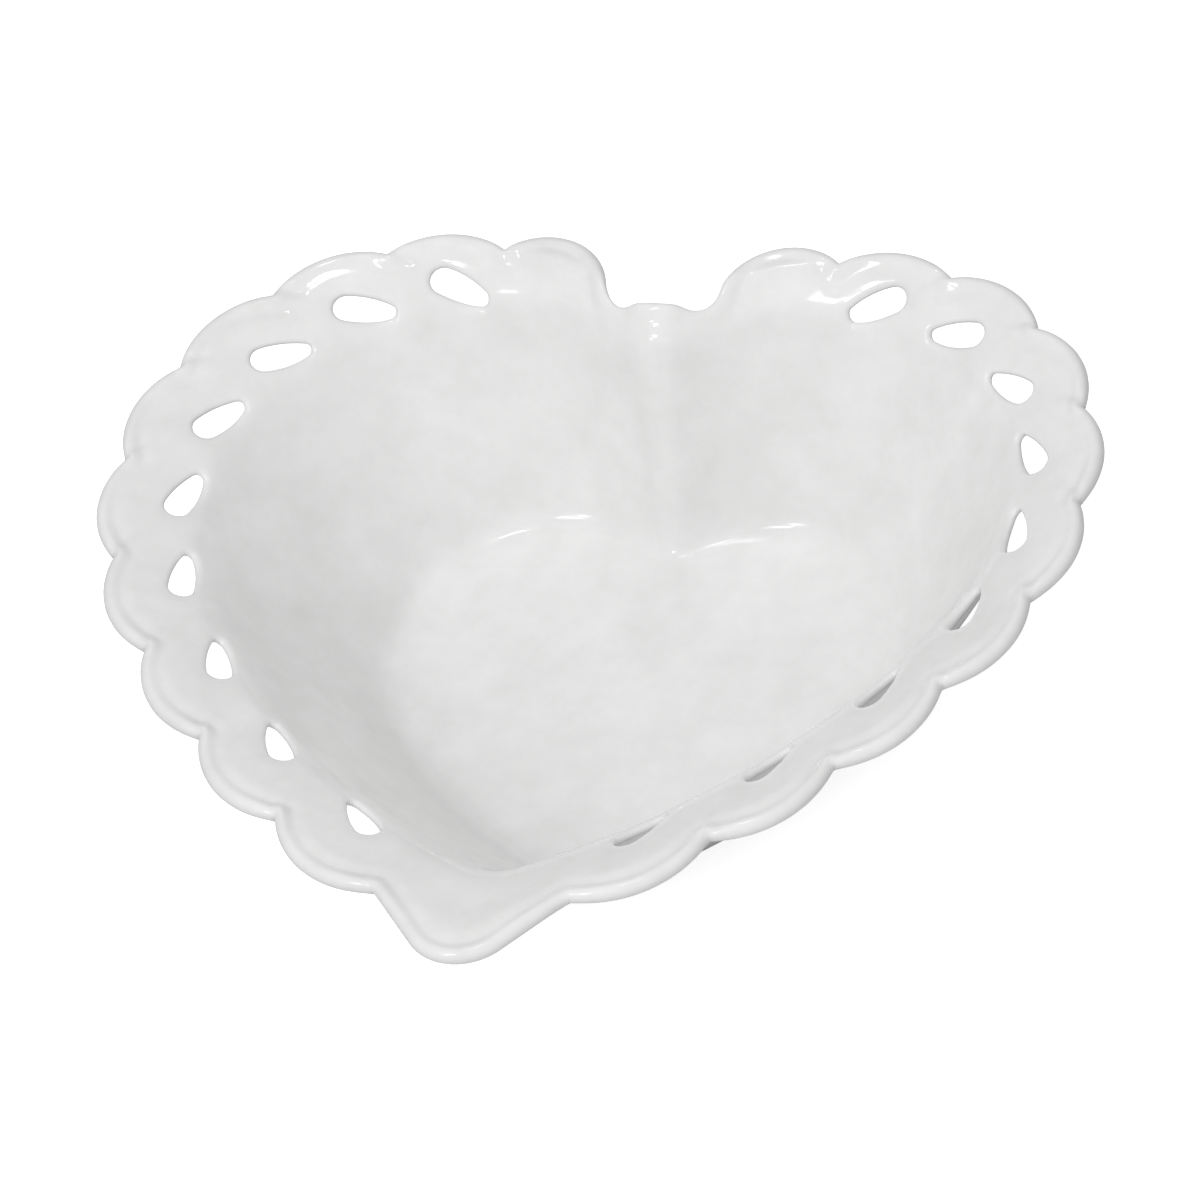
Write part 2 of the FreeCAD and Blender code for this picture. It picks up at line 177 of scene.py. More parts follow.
# Camera, in a nearly parallel view.
AZIMUTH, ELEVATION, ROLL = (math.radians(turn) for turn in (27.35, 46.41, -18.0))
TARGET = Vector((7.9, -0.7, 51.5)) * MM
CAMERA_DISTANCE = 10.451
CLIP_START, CLIP_END = 0.1, 3 * CAMERA_DISTANCE
LENS, SENSOR = 1645.0, 36.0

# Lamps: name, direction in the plan, height over it, size, power, and whether the glaze
# mirrors it. Broad lamps light the dish from all round, and small ones are its glints.
LAMPS = (
    ("front", 265, 45, 0.9, 5.4, False),
    ("top", 0, 88, 0.7, 6.9, False),
    ("low", -63, 7, 0.9, 3.5, False),
    ("back", 100, 9, 0.9, 2.0, False),
    ("overhead", 120, 76, 0.13, 0.8, True),
    ("window", -118, 53, 0.26, 2.2, True),
    ("sill", -121, 40, 0.16, 0.8, True),
)
LAMP_DISTANCE = 1.5
WORLD_LIGHT = 0.42
FLOOR_REACH = 12.0
FLOOR_GAP = 0.02 * MM       # keeps the floor and the foot's face apart
FLOOR_GREY = 0.65
FLOOR_GLOW = 0.78           # brings the lit floor to white for the camera alone


# ---------------------------------------------------------------- plan of the dish


def unit(degrees):
    """Unit vectors in the plan for an angle or an array of angles, in degrees."""
    turn = np.radians(degrees)
    return np.stack((np.cos(turn), np.sin(turn)), axis=-1)


def angle_of(vector):
    """Angle of a plan vector, in degrees."""
    return math.degrees(math.atan2(vector[1], vector[0]))


def rim_arcs():
    """Right half of the rim line, cleft to tip: (centre, radius, start, end)."""
    lobe = np.array(LOBE_CENTRE)
    gap = LOBE_RADIUS + RIM_CLEFT_RADIUS
    cleft = np.array((0.0, lobe[1] + math.sqrt(gap ** 2 - lobe[0] ** 2)))
    lobe_start = angle_of(cleft - lobe)
    flank = lobe + (LOBE_RADIUS - FLANK_RADIUS) * unit(FLANK_START)
    side = flank + (FLANK_RADIUS - SIDE_RADIUS) * unit(SIDE_START)
    inside = SIDE_RADIUS - RIM_TIP_RADIUS
    tip = np.array((0.0, side[1] - math.sqrt(inside ** 2 - side[0] ** 2)))
    side_end = angle_of(tip - side)
    return (
        (cleft, RIM_CLEFT_RADIUS, -90.0, lobe_start - 180.0),
        (lobe, LOBE_RADIUS, lobe_start, FLANK_START),
        (flank, FLANK_RADIUS, FLANK_START, SIDE_START),
        (side, SIDE_RADIUS, SIDE_START, side_end),
        (tip, RIM_TIP_RADIUS, side_end, -90.0),
    )


ARCS = rim_arcs()
ARC_ENDS = np.cumsum([
    radius * abs(math.radians(end - start)) for _, radius, start, end in ARCS
])
RIM_LENGTH = ARC_ENDS[-1]


def rim_at(distance):
    """Points of the rim line at these distances from the cleft, and outward directions."""
    distance = np.atleast_1d(np.asarray(distance, float))
    points = np.zeros((len(distance), 2))
    outward = np.zeros((len(distance), 2))
    which = np.minimum(np.searchsorted(ARC_ENDS, distance), len(ARCS) - 1)
    for number, (centre, radius, start, end) in enumerate(ARCS):
        chosen = which == number
        begin = ARC_ENDS[number - 1] if number else 0.0
        share = (distance[chosen] - begin) / (ARC_ENDS[number] - begin)
        spoke = unit(start + (end - start) * share)
        points[chosen] = centre + radius * spoke
        outward[chosen] = spoke * (1 if end < start else -1)
    return points, outward


def cusp_distances():
    """Distances along the rim line of the cusps on one half, cleft to tip."""
    weights = 1 + SCALLOP_GROWTH * (np.arange(SCALLOPS) / (SCALLOPS - 1)) ** 2
    pierced = RIM_LENGTH - PLAIN_LOBE_LENGTH - PLAIN_TIP_LENGTH
    widths = np.cumsum(weights) * pierced / weights.sum()
    return PLAIN_LOBE_LENGTH + np.concatenate(([0.0], widths))


CUSPS = cusp_distances()
CUSP_POINTS = rim_at(CUSPS)[0]


def scallop_arc(first, last):
    """The arc that bulges out from the chord between two cusps."""
    chord = last - first
    width = np.hypot(*chord)
    rise = width * SCALLOP_BULGE
    radius = (width ** 2 / 4 + rise ** 2) / (2 * rise)
    outward = np.array((-chord[1], chord[0])) / width
    centre = (first + last) / 2 + outward * (rise - radius)
    start = angle_of(first - centre)
    return centre, radius, start, start - 2 * math.degrees(math.asin(width / (2 * radius)))


def cleft_parts(cusp):
    """The edge beside the cleft: its middle, its rounded corner and the plain scallop."""
    below = math.sqrt(PLAIN_LOBE_RADIUS ** 2 - (cusp[0] - PLAIN_LOBE_SIDE) ** 2)
    lobe = np.array((PLAIN_LOBE_SIDE, cusp[1] - below))
    corner_y = CLEFT_REACH + CLEFT_CORNER_RADIUS
    gap = PLAIN_LOBE_RADIUS + CLEFT_CORNER_RADIUS
    corner = np.array((lobe[0] - math.sqrt(gap ** 2 - (lobe[1] - corner_y) ** 2), corner_y))
    turn = angle_of(corner - lobe) % 360
    return [
        (np.array((0.0, CLEFT_REACH)), np.array((corner[0], CLEFT_REACH))),
        (corner, CLEFT_CORNER_RADIUS, -90.0, turn - 180),
        (lobe, PLAIN_LOBE_RADIUS, turn, angle_of(cusp - lobe)),
    ]


def tip_parts(cusp):
    """The edge from the last cusp: a straight side, then the round of the tip."""
    centre = np.array((0.0, TIP_EDGE_RADIUS - TIP_REACH))
    away = cusp - centre
    turn = angle_of(away) - math.degrees(math.acos(TIP_EDGE_RADIUS / np.hypot(*away)))
    return [
        (cusp, centre + TIP_EDGE_RADIUS * unit(turn)),
        (centre, TIP_EDGE_RADIUS, turn, -90.0),
    ]


# Each part is a line (start, end) or an arc (centre, radius, start, end).
CLEFT_PARTS = cleft_parts(CUSP_POINTS[0])
SCALLOP_ARCS = [scallop_arc(*pair) for pair in zip(CUSP_POINTS, CUSP_POINTS[1:])]
TIP_PARTS = tip_parts(CUSP_POINTS[-1])


def part_points(part, count):
    """Evenly spaced points along one part of the edge."""
    if len(part) == 2:
        share = np.linspace(0, 1, count)[:, None]
        return part[0] + share * (part[1] - part[0])
    centre, radius, start, end = part
    return centre + radius * unit(np.linspace(start, end, count))


def joined_points(parts, count):
    """Evenly spaced points along several parts, and the length at the end of each part."""
    lines = [part_points(part, PART_SAMPLES) for part in parts]
    line = np.concatenate([lines[0]] + [more[1:] for more in lines[1:]])
    along = np.concatenate(([0.0], np.cumsum(np.hypot(*np.diff(line, axis=0).T))))
    even = np.linspace(0, along[-1], count)
    points = np.stack([np.interp(even, along, line[:, axis]) for axis in (0, 1)], axis=-1)
    return points, along[::PART_SAMPLES - 1]


def edge_distance(points):
    """How far plan points of the right half lie inside the edge."""
    nearest = np.full(len(points), np.inf)
    for part in CLEFT_PARTS + SCALLOP_ARCS + TIP_PARTS:
        if len(part) == 2:
            run = part[1] - part[0]
            share = np.clip((points - part[0]) @ run / (run @ run), 0, 1)
            foot = part[0] + share[:, None] * run
        else:
            centre, radius, start, end = part
            spoke = points - centre
            turn = np.degrees(np.arctan2(spoke[:, 1], spoke[:, 0])) - (start + end) / 2
            turn = (turn + 180) % 360 - 180
            limit = abs(end - start) / 2
            foot = centre + radius * unit((start + end) / 2 + np.clip(turn, -limit, limit))
        nearest = np.minimum(nearest, np.hypot(*(points - foot).T))
    return nearest


def forward(inset):
    """How far the heart at this inset has moved towards the cleft."""
    return BOWL_FORWARD * np.sin(np.clip(inset / FORWARD_REACH, 0, 1) * math.pi / 2)


def heart_at(distance, inset):
    """Points of the heart at this inset, met from these places on the rim line."""
    return rim_at(distance)[0] * (1 - inset / HALF_WIDTH) + np.array((0.0, forward(inset)))


# ---------------------------------------------------------------- section of the dish


def bend_ends():
    """(inset, depth) where the bend between border and wall starts, and where it ends."""
    rim, wall = math.radians(RIM_SLOPE), math.radians(WALL_ANGLE)
    reach = BEND_RADIUS * math.tan((wall - rim) / 2)
    crease = BORDER_WIDTH * math.tan(rim)
    start = (BORDER_WIDTH - reach * math.cos(rim), crease - reach * math.sin(rim))
    return start, (BORDER_WIDTH + reach * math.cos(wall), crease + reach * math.sin(wall))


def section_table():
    """Insets, depths of the upper face there with softened corners, and the cove's end."""
    insets = np.arange(-TABLE_OUTSIDE, HALF_WIDTH + TABLE_BEYOND, TABLE_STEP)
    rim, wall = math.radians(RIM_SLOPE), math.radians(WALL_ANGLE)
    start, end = bend_ends()
    depth = np.clip(insets, 0, None) * math.tan(rim)
    rise = math.sin(rim) + (insets - start[0]) / BEND_RADIUS
    turn = np.arcsin(np.clip(rise, 0, math.sin(wall)))
    bend = start[1] + BEND_RADIUS * (math.cos(rim) - np.cos(turn))
    depth = np.where(insets > start[0], bend, depth)
    depth = np.where(insets > end[0], end[1] + (insets - end[0]) * math.tan(wall), depth)
    wall_end = end[0] + (DISH_DEPTH - end[1]) / math.tan(wall)
    cove_end = wall_end + COVE_RADIUS * math.tan(wall / 2)
    cove_start = cove_end - COVE_RADIUS * math.sin(wall)
    drop = np.sqrt(np.clip(COVE_RADIUS ** 2 - (cove_end - insets) ** 2, 0, None))
    depth = np.where(insets > cove_start, DISH_DEPTH - COVE_RADIUS + drop, depth)
    depth = np.where(insets > cove_end, DISH_DEPTH, depth)
    limit = SOFTNESS_REACH * PROFILE_SOFTNESS
    reach = np.arange(-limit, limit + TABLE_STEP, TABLE_STEP)
    kernel = np.exp(-0.5 * (reach / PROFILE_SOFTNESS) ** 2)
    padded = np.pad(depth, len(reach) // 2, mode="edge")
    soft = np.convolve(padded, kernel / kernel.sum(), mode="valid")
    return insets, soft[:len(insets)], cove_end


SECTION_INSETS, SECTION_DEPTHS, FLOOR_INSET = section_table()
FLOOR_BRINK = FLOOR_INSET + FLOOR_MARGIN
RIM_SAMPLES = rim_at(np.linspace(0, RIM_LENGTH, RIM_SAMPLE_COUNT))[0]
RIM_TURNS = np.arctan2(RIM_SAMPLES[:, 0], -RIM_SAMPLES[:, 1])[::-1]
RIM_REACH = np.hypot(*RIM_SAMPLES.T)[::-1]


def inset_at(points):
    """Inset of plan points, found by how far they reach towards the rim line."""
    inset = np.full(len(points), BORDER_WIDTH / 2)
    for _ in range(INSET_ROUNDS):
        y = points[:, 1] - forward(inset)
        x = np.abs(points[:, 0])
        reach = np.interp(np.arctan2(x, -y), RIM_TURNS, RIM_REACH)
        inset = HALF_WIDTH * (1 - np.hypot(x, y) / reach)
    return inset


def height_at(points):
    """Height of the plain upper face, without relief."""
    return RIM_HEIGHT - np.interp(inset_at(points), SECTION_INSETS, SECTION_DEPTHS)


def normals_at(points):
    """Upward normals of the plain upper face."""
    slopes = [
        (height_at(points + shift) - height_at(points - shift)) / (2 * NORMAL_STEP)
        for shift in (np.array((NORMAL_STEP, 0.0)), np.array((0.0, NORMAL_STEP)))
    ]
    normal = np.stack((-slopes[0], -slopes[1], np.ones(len(points))), axis=-1)
    return normal / np.linalg.norm(normal, axis=1, keepdims=True)


# ---------------------------------------------------------------- holes


def drop_seats():
    """Centres of the teardrop's round end, pointed end and side arc, along and across it."""
    shift = (HOLE_POINT_RADIUS - HOLE_ROUND_RADIUS) / 2
    wide, narrow = shift + HOLE_SPAN / 2, shift - HOLE_SPAN / 2
    to_wide = HOLE_SIDE_RADIUS - HOLE_ROUND_RADIUS
    to_narrow = HOLE_SIDE_RADIUS - HOLE_POINT_RADIUS
    along = (to_narrow ** 2 - to_wide ** 2 + HOLE_SPAN ** 2) / (2 * HOLE_SPAN)
    return wide, narrow, narrow + along, math.sqrt(to_narrow ** 2 - along ** 2)


HOLE_WIDE, HOLE_NARROW, HOLE_SIDE, HOLE_SIDE_DROP = drop_seats()


def hole_lean():
    """How far the border is tilted where the holes are, as an angle."""
    rim = math.radians(RIM_SLOPE)
    return math.asin(math.sin(rim) + (HOLE_INSET - bend_ends()[0][0]) / BEND_RADIUS)


class Hole:
    """One teardrop, drawn on the border's slope with its round end along +u."""

    def __init__(self, distance):
        point, outward = (found[0] for found in rim_at(distance))
        inside = heart_at(distance, HOLE_INSET)[0]
        self.centre = point + outward * (outward @ (inside - point))
        heading = np.array((outward[1], -outward[0]))
        turn = math.radians(HOLE_TWIST)
        along = np.array((math.cos(turn), math.sin(turn)))
        across = np.array((-math.sin(turn), math.cos(turn)))
        slope = np.stack((heading, outward * math.cos(hole_lean())))
        self.axes = np.stack((along @ slope, across @ slope))
        self.inverse = np.linalg.inv(self.axes)

    def nearest(self, points):
        """For plan points: the nearest arc's centre and radius, and the way and reach from it."""
        u, v = ((points - self.centre) @ self.inverse).T
        turn = np.arctan2(np.abs(v) + HOLE_SIDE_DROP, u - HOLE_SIDE)
        at_wide = turn < math.atan2(HOLE_SIDE_DROP, HOLE_WIDE - HOLE_SIDE)
        at_narrow = turn > math.atan2(HOLE_SIDE_DROP, HOLE_NARROW - HOLE_SIDE)
        ends = at_wide | at_narrow
        seat = np.stack((
            np.where(at_wide, HOLE_WIDE, np.where(at_narrow, HOLE_NARROW, HOLE_SIDE)),
            np.where(ends, 0, -HOLE_SIDE_DROP * np.where(v < 0, -1, 1)),
        ), axis=-1)
        radius = np.where(
            at_wide, HOLE_ROUND_RADIUS,
            np.where(at_narrow, HOLE_POINT_RADIUS, HOLE_SIDE_RADIUS),
        )
        away = np.stack((u, v), axis=-1) - seat
        reach = np.hypot(*away.T)
        return seat, radius, away / reach[:, None], reach

    def distance(self, points):
        """Distance outside the teardrop, measured on the slope."""
        _, radius, _, reach = self.nearest(points)
        return reach - radius

    def loops(self, rim, shares, grow):
        """Loops between the teardrop grown by this much (share 0) and a rim of points."""
        seat, radius, direction, reach = self.nearest(rim)
        first = radius + grow
        loops = []
        for share in shares:
            local = seat + direction * (first + (reach - first) * share)[:, None]
            loops.append(self.centre + local @ self.axes)
        return loops


def hole_distances():
    """Distances along the rim line of the holes on one half."""
    share = 2 * np.arange(SCALLOPS) / SCALLOPS - 1
    return (CUSPS[:-1] + CUSPS[1:]) / 2 - (HOLE_SHIFT - HOLE_SPREAD * share ** 2)


HOLES = [Hole(distance) for distance in hole_distances()]


def cusp_heads():
    """Rim distances where the cusps' columns meet the bowl's rows, midway between the holes."""
    leans = []
    shares = np.linspace(0, 1, COLUMN_SAMPLES)[:, None]
    tries = np.linspace(*COLUMN_LEANS, COLUMN_TRIES)
    for number in range(1, SCALLOPS):
        beside = HOLES[number - 1:number + 1]
        gaps = []
        for lean in tries:
            end = heart_at(CUSPS[number] - lean, PATCH_INSET)[0]
            line = CUSP_POINTS[number] + shares * (end - CUSP_POINTS[number])
            gaps.append(min(hole.distance(line).min() for hole in beside))
        leans.append(tries[int(np.argmax(gaps))])
    return CUSPS - np.array([leans[0]] + leans + [leans[-1]])


def column_ends():
    """Where each mesh column starts on the edge, and the rim distance it heads for."""
    goals = cusp_heads()
    lobe, knots = joined_points(CLEFT_PARTS, LOBE_COLUMNS + 1)
    even = np.linspace(0, knots[-1], LOBE_COLUMNS + 1)
    starts = [lobe]
    heads = [np.interp(even, knots, goals[0] * np.array(LOBE_SHARES))]
    for number, arc in enumerate(SCALLOP_ARCS):
        starts.append(part_points(arc, SCALLOP_COLUMNS + 1)[1:])
        between = np.linspace(goals[number], goals[number + 1], SCALLOP_COLUMNS + 1)
        heads.append(between[1:])
    starts.append(joined_points(TIP_PARTS, TIP_COLUMNS + 1)[0][1:])
    heads.append(np.linspace(goals[-1], RIM_LENGTH, TIP_COLUMNS + 1)[1:])
    return np.concatenate(starts), np.concatenate(heads)


# ---------------------------------------------------------------- the skin


def smooth_step(value, low, high):
    """Smooth rise from 0 at low to 1 at high."""
    share = np.clip((value - low) / (high - low), 0, 1)
    return share * share * (3 - 2 * share)


def roll_drop(edge):
    """How far the rolled edge's round lies below its crest."""
    short = np.clip(ROLL_RADIUS - np.where(edge < EDGE_TOUCH, 0, edge), 0, None)
    return ROLL_RADIUS - np.sqrt(np.clip(ROLL_RADIUS ** 2 - short ** 2, 0, None))


def overlap(points, arc):
    """A scallop's raised edge where it carries on past its upper cusp, over its neighbour."""
    centre, radius, start, _ = arc
    spoke = points - centre
    inside = radius - np.hypot(*spoke.T)
    turn = (np.degrees(np.arctan2(spoke[:, 1], spoke[:, 0])) - start + 180) % 360 - 180
    past = radius * np.radians(turn)
    share = smooth_step(past, *OVERLAP_RISE) * (1 - smooth_step(past, *OVERLAP_FALL))
    roll = OVERLAP_HEIGHT * np.exp(-((inside - OVERLAP_WIDTH) / OVERLAP_WIDTH) ** 2)
    away = (inside + OVERLAP_GROOVE_PLACE) / OVERLAP_GROOVE_WIDTH
    return share * (roll - OVERLAP_GROOVE * np.exp(-away ** 2))


def relief(points, edge):
    """Height of the modelled surface over the plain section, from the edge inwards."""
    fall = smooth_step(edge, ROLL_RADIUS, GROOVE_PLACE)
    rise = smooth_step(edge, GROOVE_PLACE, FACE_PLACE)
    height = -GROOVE_DEPTH * fall + (GROOVE_DEPTH - FACE_DEPTH) * rise
    inside = smooth_step(edge, 0, ROLL_RADIUS)
    for arc in SCALLOP_ARCS:
        height += overlap(points, arc) * inside
    for hole in HOLES:
        away = np.clip(hole.distance(points) / DIMPLE_WIDTH, 0, None)
        height -= DIMPLE_DEPTH * np.exp(-away ** 2)
    return height - roll_drop(edge)


def wall_at(points, edge):
    """Thickness of the wall, which is thinner round the holes."""
    away = np.min([hole.distance(points) for hole in HOLES], axis=0)
    near = np.exp(-(np.clip(away, 0, None) / HOLE_THIN_REACH) ** 2)
    return WALL - HOLE_THINNING * near * smooth_step(edge, ROLL_RADIUS, LIP_WIDTH)


def through_wall(points, edge):
    """Unit directions up through the wall: upright at the edge, square to it inside."""
    lean = smooth_step(edge, 0, LEAN_REACH)[:, None]
    square = normals_at(points) * lean + np.array((0, 0, 1.0)) * (1 - lean)
    return square / np.linalg.norm(square, axis=1, keepdims=True)


def upper_points(points):
    """Points of the upper face, never above the rim's height."""
    edge = edge_distance(points)
    height = height_at(points) + relief(points, edge)
    return np.column_stack((points, np.minimum(height, RIM_HEIGHT)))


def sunk_points(points, sunk):
    """Points this far below the upper face, square through the wall."""
    edge = edge_distance(points)
    height = relief(points, edge) * (1 - sunk / wall_at(points, edge))
    place = np.column_stack((points, height_at(points) + height))
    return place - sunk[:, None] * through_wall(points, edge)


def lower_points(points):
    """Points of the lower face, square through the wall from the upper face's plan points."""
    edge = edge_distance(points)
    through = wall_at(points, edge) - roll_drop(edge)
    place = np.column_stack((points, height_at(points)))
    return place - through_wall(points, edge) * through[:, None]


class Skin:
    """Points and quads of the right half, gathered sheet by sheet."""

    def __init__(self):
        self.points = []
        self.quads = []
        self.count = 0

    def add(self, points):
        """Keep points and return their numbers."""
        self.points.append(points)
        self.count += len(points)
        return np.arange(self.count - len(points), self.count)

    def fill(self, rows, closed=False):
        """Quads between rows of point numbers."""
        rows = np.asarray(rows)
        if closed:
            rows = np.column_stack((rows, rows[:, 0]))
        corners = (rows[:-1, :-1], rows[:-1, 1:], rows[1:, 1:], rows[1:, :-1])
        self.quads.append(np.stack(corners, axis=-1).reshape(-1, 4))


def lip_rows(starts, ends):
    """Plan rows that run a set distance inside the edge, from the roll to the lip's end."""
    turns = np.linspace(0, math.pi / 2, ROLL_TURNS)
    goals = np.concatenate((
        ROLL_RADIUS * (1 - np.cos(turns)),
        np.linspace(ROLL_RADIUS, LIP_WIDTH, LIP_ROWS + 1)[1:],
    ))
    shares = np.linspace(0, LIP_SEARCH, LIP_SAMPLES)
    paths = starts[:, None] + shares[None, :, None] * (ends - starts)[:, None]
    depths = edge_distance(paths.reshape(-1, 2)).reshape(len(starts), -1)
    found = np.stack([np.interp(goals, depth, shares) for depth in depths], axis=1)
    return starts + found[:, :, None] * (ends - starts)


def bowl_insets():
    """Insets of the bowl's rows, from the patches down to the floor."""
    count = round((FLOOR_BRINK - PATCH_INSET) / BOWL_STEP)
    return np.linspace(PATCH_INSET, FLOOR_BRINK, count + 1)


def lay_face(skin, place, starts, heads):
    """Lay the upper or lower face; returns each hole's plan rim and point numbers."""
    ends = heart_at(heads, PATCH_INSET)
    lip = lip_rows(starts, ends)
    lip_numbers = [skin.add(place(row)) for row in lip]
    skin.fill(lip_numbers)
    shares = np.linspace(0, 1, BAND_ROWS + 1)[:, None, None]
    band = lip[-1] + shares * (ends - lip[-1])
    first = LOBE_COLUMNS
    last = first + SCALLOPS * SCALLOP_COLUMNS
    brink = skin.add(place(ends))
    band_numbers = np.full(band.shape[:2], -1)
    band_numbers[0] = lip_numbers[-1]
    band_numbers[-1] = brink
    drawn = np.ones(len(starts), bool)
    drawn[first:last] = False
    drawn[first:last + 1:SCALLOP_COLUMNS] = True
    for row in range(1, BAND_ROWS):
        band_numbers[row, drawn] = skin.add(place(band[row, drawn]))
    skin.fill(band_numbers[:, :first + 1])
    skin.fill(band_numbers[:, last:])
    bowl = [brink]
    for inset in bowl_insets()[1:]:
        bowl.append(skin.add(place(heart_at(heads, inset))))
    skin.fill(bowl)
    lay_floor(skin, place, heads, bowl[-1])
    patches = []
    for number in range(SCALLOPS):
        low = first + number * SCALLOP_COLUMNS
        high = low + SCALLOP_COLUMNS
        loop = (
            [(0, column) for column in range(low, high)]
            + [(row, high) for row in range(BAND_ROWS)]
            + [(BAND_ROWS, column) for column in range(high, low, -1)]
            + [(row, low) for row in range(BAND_ROWS, 0, -1)]
        )
        rows, columns = np.array(loop).T
        patches.append((band[rows, columns], band_numbers[rows, columns]))
    return patches


def lay_floor(skin, place, heads, outer):
    """Flat middle: straight rows from each column to a spine on the line of symmetry."""
    rim = heart_at(heads, FLOOR_BRINK)
    spine = np.linspace(*FLOOR_SPINE, len(rim))[:, None]
    axis = rim[0] + spine * (rim[-1] - rim[0])
    rows = [outer]
    for share in np.linspace(0, 1, FLOOR_ROWS + 1)[1:]:
        rows.append(skin.add(place(rim + share * (axis - rim))))
    skin.fill(rows)


def lay_hole(skin, hole, upper, lower):
    """Rings round one hole on both faces, joined through the wall by its rounded edges."""
    shares = np.linspace(0, 1, RING_COUNT + 1) ** RING_GROWTH
    rings = []
    for plan_rim, numbers, place, grow in (
        (*upper, upper_points, HOLE_TOP_ROUND),
        (*lower, lower_points, HOLE_LOW_ROUND),
    ):
        loops = hole.loops(plan_rim, shares[:-1], grow)
        rings.append([skin.add(place(loop)) for loop in loops] + [numbers])
        skin.fill(rings[-1], closed=True)
    throat = [rings[0][0]]
    for turn in np.linspace(0, math.pi / 2, HOLE_TOP_TURNS)[1:]:
        loop = hole.loops(upper[0], (0,), HOLE_TOP_ROUND * (1 - math.sin(turn)))[0]
        sunk = np.full(len(loop), HOLE_TOP_ROUND * (1 - math.cos(turn)))
        throat.append(skin.add(sunk_points(loop, sunk)))
    for turn in np.linspace(math.pi / 2, 0, HOLE_LOW_TURNS)[:-1]:
        loop = hole.loops(lower[0], (0,), HOLE_LOW_ROUND * (1 - math.sin(turn)))[0]
        sunk = wall_at(loop, edge_distance(loop)) - HOLE_LOW_ROUND * (1 - math.cos(turn))
        throat.append(skin.add(sunk_points(loop, sunk)))
    skin.fill(throat + [rings[1][0]], closed=True)


def add_object(name, data):
    """A new object in the scene."""
    added = bpy.data.objects.new(name, data)
    bpy.context.scene.collection.objects.link(added)
    return added


def mesh_object(name, points, faces):
    """A smooth object from millimetre points of the right half and their mirror image."""
    placed = points + np.array((0.0, SHIFT_Y, 0.0))
    both = np.concatenate((placed, placed * np.array((-1, 1, 1)))) * MM
    quads = np.concatenate((faces, faces[:, ::-1] + len(points)))
    mesh = bpy.data.meshes.new(name)
    mesh.from_pydata(both.tolist(), [], quads.tolist())
    shape = bmesh.new()
    shape.from_mesh(mesh)
    bmesh.ops.remove_doubles(shape, verts=shape.verts, dist=MERGE_DISTANCE)
    bmesh.ops.recalc_face_normals(shape, faces=shape.faces)
    shape.to_mesh(mesh)
    shape.free()
    mesh.shade_smooth()
    return add_object(name, mesh)


def skin_object(name, skin):
    """The object of a finished skin."""
    return mesh_object(name, np.concatenate(skin.points), np.concatenate(skin.quads))


def make_dish():
    """The dish's closed skin: both faces, joined by the holes' throats and at the edge."""
    skin = Skin()
    starts, heads = column_ends()
    upper = lay_face(skin, upper_points, starts, heads)
    lower = lay_face(skin, lower_points, starts, heads)
    for hole, above, below in zip(HOLES, upper, lower):
        lay_hole(skin, hole, above, below)
    return skin_object("glazed_dish", skin)


def make_foot():
    """Heart-shaped ring with rounded resting edges, sunk a little into the dish."""
    outer = HALF_WIDTH - FOOT_HIGH.x / MM
    inner = outer + FOOT_WIDTH
    base = RIM_HEIGHT - DISH_DEPTH - WALL - FOOT_HEIGHT
    top = base + FOOT_HEIGHT + FOOT_BED
    rounds = [
        (FOOT_ROUND * (1 - math.cos(turn)), base + FOOT_ROUND * (1 - math.sin(turn)))
        for turn in np.linspace(0, math.pi / 2, FOOT_TURNS)
    ]
    section = [
        (outer, top),
        *((outer + across, height) for across, height in rounds),
        *((inner - across, height) for across, height in reversed(rounds)),
        (inner, top),
        (outer, top),
    ]
    skin = Skin()
    heads = np.linspace(0, RIM_LENGTH, FOOT_COLUMNS)
    rows = []
    for inset, height in section:
        points = heart_at(heads, inset)
        rows.append(skin.add(np.column_stack((points, np.full(len(points), height)))))
    skin.fill(rows)
    return skin_object("foot_of_dish", skin)


# ---------------------------------------------------------------- materials


def node_material(name):
    """A new material with its nodes, links and shader."""
    material = bpy.data.materials.new(name)
    material.use_nodes = True
    nodes = material.node_tree.nodes
    return material, nodes, material.node_tree.links, nodes["Principled BSDF"]


def add_noise(nodes, links, place, scale, detail=2.0, roughness=0.5):
    """Noise over the object, this many waves to the metre."""
    noise = nodes.new("ShaderNodeTexNoise")
    noise.inputs["Scale"].default_value = scale
    noise.inputs["Detail"].default_value = detail
    noise.inputs["Roughness"].default_value = roughness
    links.new(place, noise.inputs["Vector"])
    return noise.outputs["Fac"]


def add_range(nodes, links, value, low, high, start=0.3, end=0.7):
    """Map a value from start..end, which is noise's usual spread, to low..high."""
    mapped = nodes.new("ShaderNodeMapRange")
    mapped.inputs["From Min"].default_value = start
    mapped.inputs["From Max"].default_value = end
    mapped.inputs["To Min"].default_value = low
    mapped.inputs["To Max"].default_value = high
    links.new(value, mapped.inputs["Value"])
    return mapped.outputs["Result"]


def add_mix(nodes, links, share, first, second):
    """Blend of two colours; either may be a colour or another node's output."""
    mix = nodes.new("ShaderNodeMix")
    mix.data_type = "RGBA"
    links.new(share, mix.inputs["Factor"])
    colours = {item.name: item for item in mix.inputs if item.type == "RGBA"}
    for socket, colour in (("A", first), ("B", second)):
        target = colours[socket]
        if isinstance(colour, tuple):
            target.default_value = (*colour, 1.0)
        else:
            links.new(colour, target)
    return next(item for item in mix.outputs if item.type == "RGBA")


